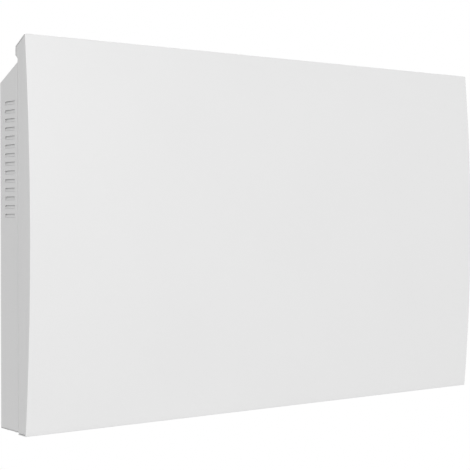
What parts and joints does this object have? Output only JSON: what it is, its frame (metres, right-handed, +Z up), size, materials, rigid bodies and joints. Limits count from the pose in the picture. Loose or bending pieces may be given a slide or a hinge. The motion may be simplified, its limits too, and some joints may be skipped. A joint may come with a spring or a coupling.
{
  "type": "electric radiator",
  "caption": "Wall-hung electric radiator with a bowed steel front, louvred cheeks, a sloped vented top and a ribbed ceramic core, lifting off a hooked wall bracket.",
  "frame": {"origin": "middle of the wall bracket's upper bar, on the back face that lies on the wall", "axes": "+X to the right as seen from the room, +Y into the wall, +Z up"},
  "size_m": [0.858, 0.1012, 0.5351],
  "materials": {
    "paint": "fine satin white powder coat",
    "bracket_paint": "white powder coat",
    "galvanised": "galvanised sheet",
    "aluminium": "bright rolled sheet",
    "ceramic": "unglazed pressed ceramic",
    "steatite": "unglazed steatite",
    "sheath": "oxidised steel tube",
    "insulation": "braided silicone insulation",
    "white_plastic": "fine matt",
    "grey_plastic": "fine matt",
    "black_plastic": "fine matt",
    "glazing": "smoked glossy window",
    "board": "solder-masked board",
    "rubber": "matt"
  },
  "bodies": {
    "bracket": {"bracket_upper_bar": "bracket_paint", "bracket_lower_bar": "bracket_paint", "bracket_left_rail": "bracket_paint", "bracket_right_rail": "bracket_paint"},
    "heater": {"front_panel": "paint", "rear_panel": "paint", "top_cover": "paint", "base_cover": "paint", "left_side_panel": "paint", "right_side_panel": "paint", "left_upright": "galvanised", "right_upright": "galvanised", "left_panel_rail": "galvanised", "right_panel_rail": "galvanised", "core_tray": "galvanised", "core_top_bar": "galvanised", "cutout_bracket": "galvanised", "heat_reflector": "aluminium", "front_slab_1": "ceramic", "front_slab_2": "ceramic", "front_slab_3": "ceramic", "rear_slab_1": "ceramic", "rear_slab_2": "ceramic", "rear_slab_3": "ceramic", "terminal_bead_1a": "steatite", "terminal_bead_1b": "steatite", "terminal_bead_2a": "steatite", "terminal_bead_2b": "steatite", "terminal_bead_3a": "steatite", "terminal_bead_3b": "steatite", "thermal_cutout": "steatite", "heating_element_1": "sheath", "heating_element_2": "sheath", "heating_element_3": "sheath", "jumper_1_2": "insulation", "jumper_2_3": "insulation", "supply_lead": "insulation", "return_lead": "insulation", "control_housing": "white_plastic", "control_bezel": "white_plastic", "terminal_block": "white_plastic", "sensor_clip": "white_plastic", "rocker_housing": "black_plastic", "display_module": "black_plastic", "cable_gland": "black_plastic", "gland_nut": "black_plastic", "room_sensor": "black_plastic", "display_window": "glazing", "circuit_board": "board", "left_wall_buffer": "rubber", "right_wall_buffer": "rubber"},
    "left_lock": {"left_lock": "grey_plastic"},
    "right_lock": {"right_lock": "grey_plastic"},
    "button_minus": {"button_minus": "grey_plastic"},
    "button_plus": {"button_plus": "grey_plastic"},
    "button_mode": {"button_mode": "grey_plastic"},
    "button_confirm": {"button_confirm": "grey_plastic"},
    "power_rocker": {"power_rocker": "black_plastic"}
  },
  "joints": [
    {"name": "heater_lift", "type": "slide", "parent": "bracket", "child": "heater", "axis": [0, 0, 1], "range_m": [0, 0.012]},
    {"name": "left_lock_turn", "type": "hinge", "parent": "bracket", "child": "left_lock", "pos_m": [-0.2, -0.0093, 0.0865], "axis": [0, 0, -1], "range_deg": [-90, 0]},
    {"name": "right_lock_turn", "type": "hinge", "parent": "bracket", "child": "right_lock", "pos_m": [0.2, -0.0093, 0.0865], "axis": [0, 0, 1], "range_deg": [-90, 0]},
    {"name": "button_minus_press", "type": "slide", "parent": "heater", "child": "button_minus", "axis": [0, -0.4421, -0.897], "range_m": [0, 0.0008], "stiffness_N_per_m": 1500},
    {"name": "button_plus_press", "type": "slide", "parent": "heater", "child": "button_plus", "axis": [0, -0.4421, -0.897], "range_m": [0, 0.0008], "stiffness_N_per_m": 1500},
    {"name": "button_mode_press", "type": "slide", "parent": "heater", "child": "button_mode", "axis": [0, -0.4421, -0.897], "range_m": [0, 0.0008], "stiffness_N_per_m": 1500},
    {"name": "button_confirm_press", "type": "slide", "parent": "heater", "child": "button_confirm", "axis": [0, -0.4421, -0.897], "range_m": [0, 0.0008], "stiffness_N_per_m": 1500},
    {"name": "power_rocker_tilt", "type": "hinge", "parent": "heater", "child": "power_rocker", "pos_m": [0.382, -0.04213, 0.09245], "axis": [0, -0.897, 0.4421], "range_deg": [0, 12]}
  ]
}
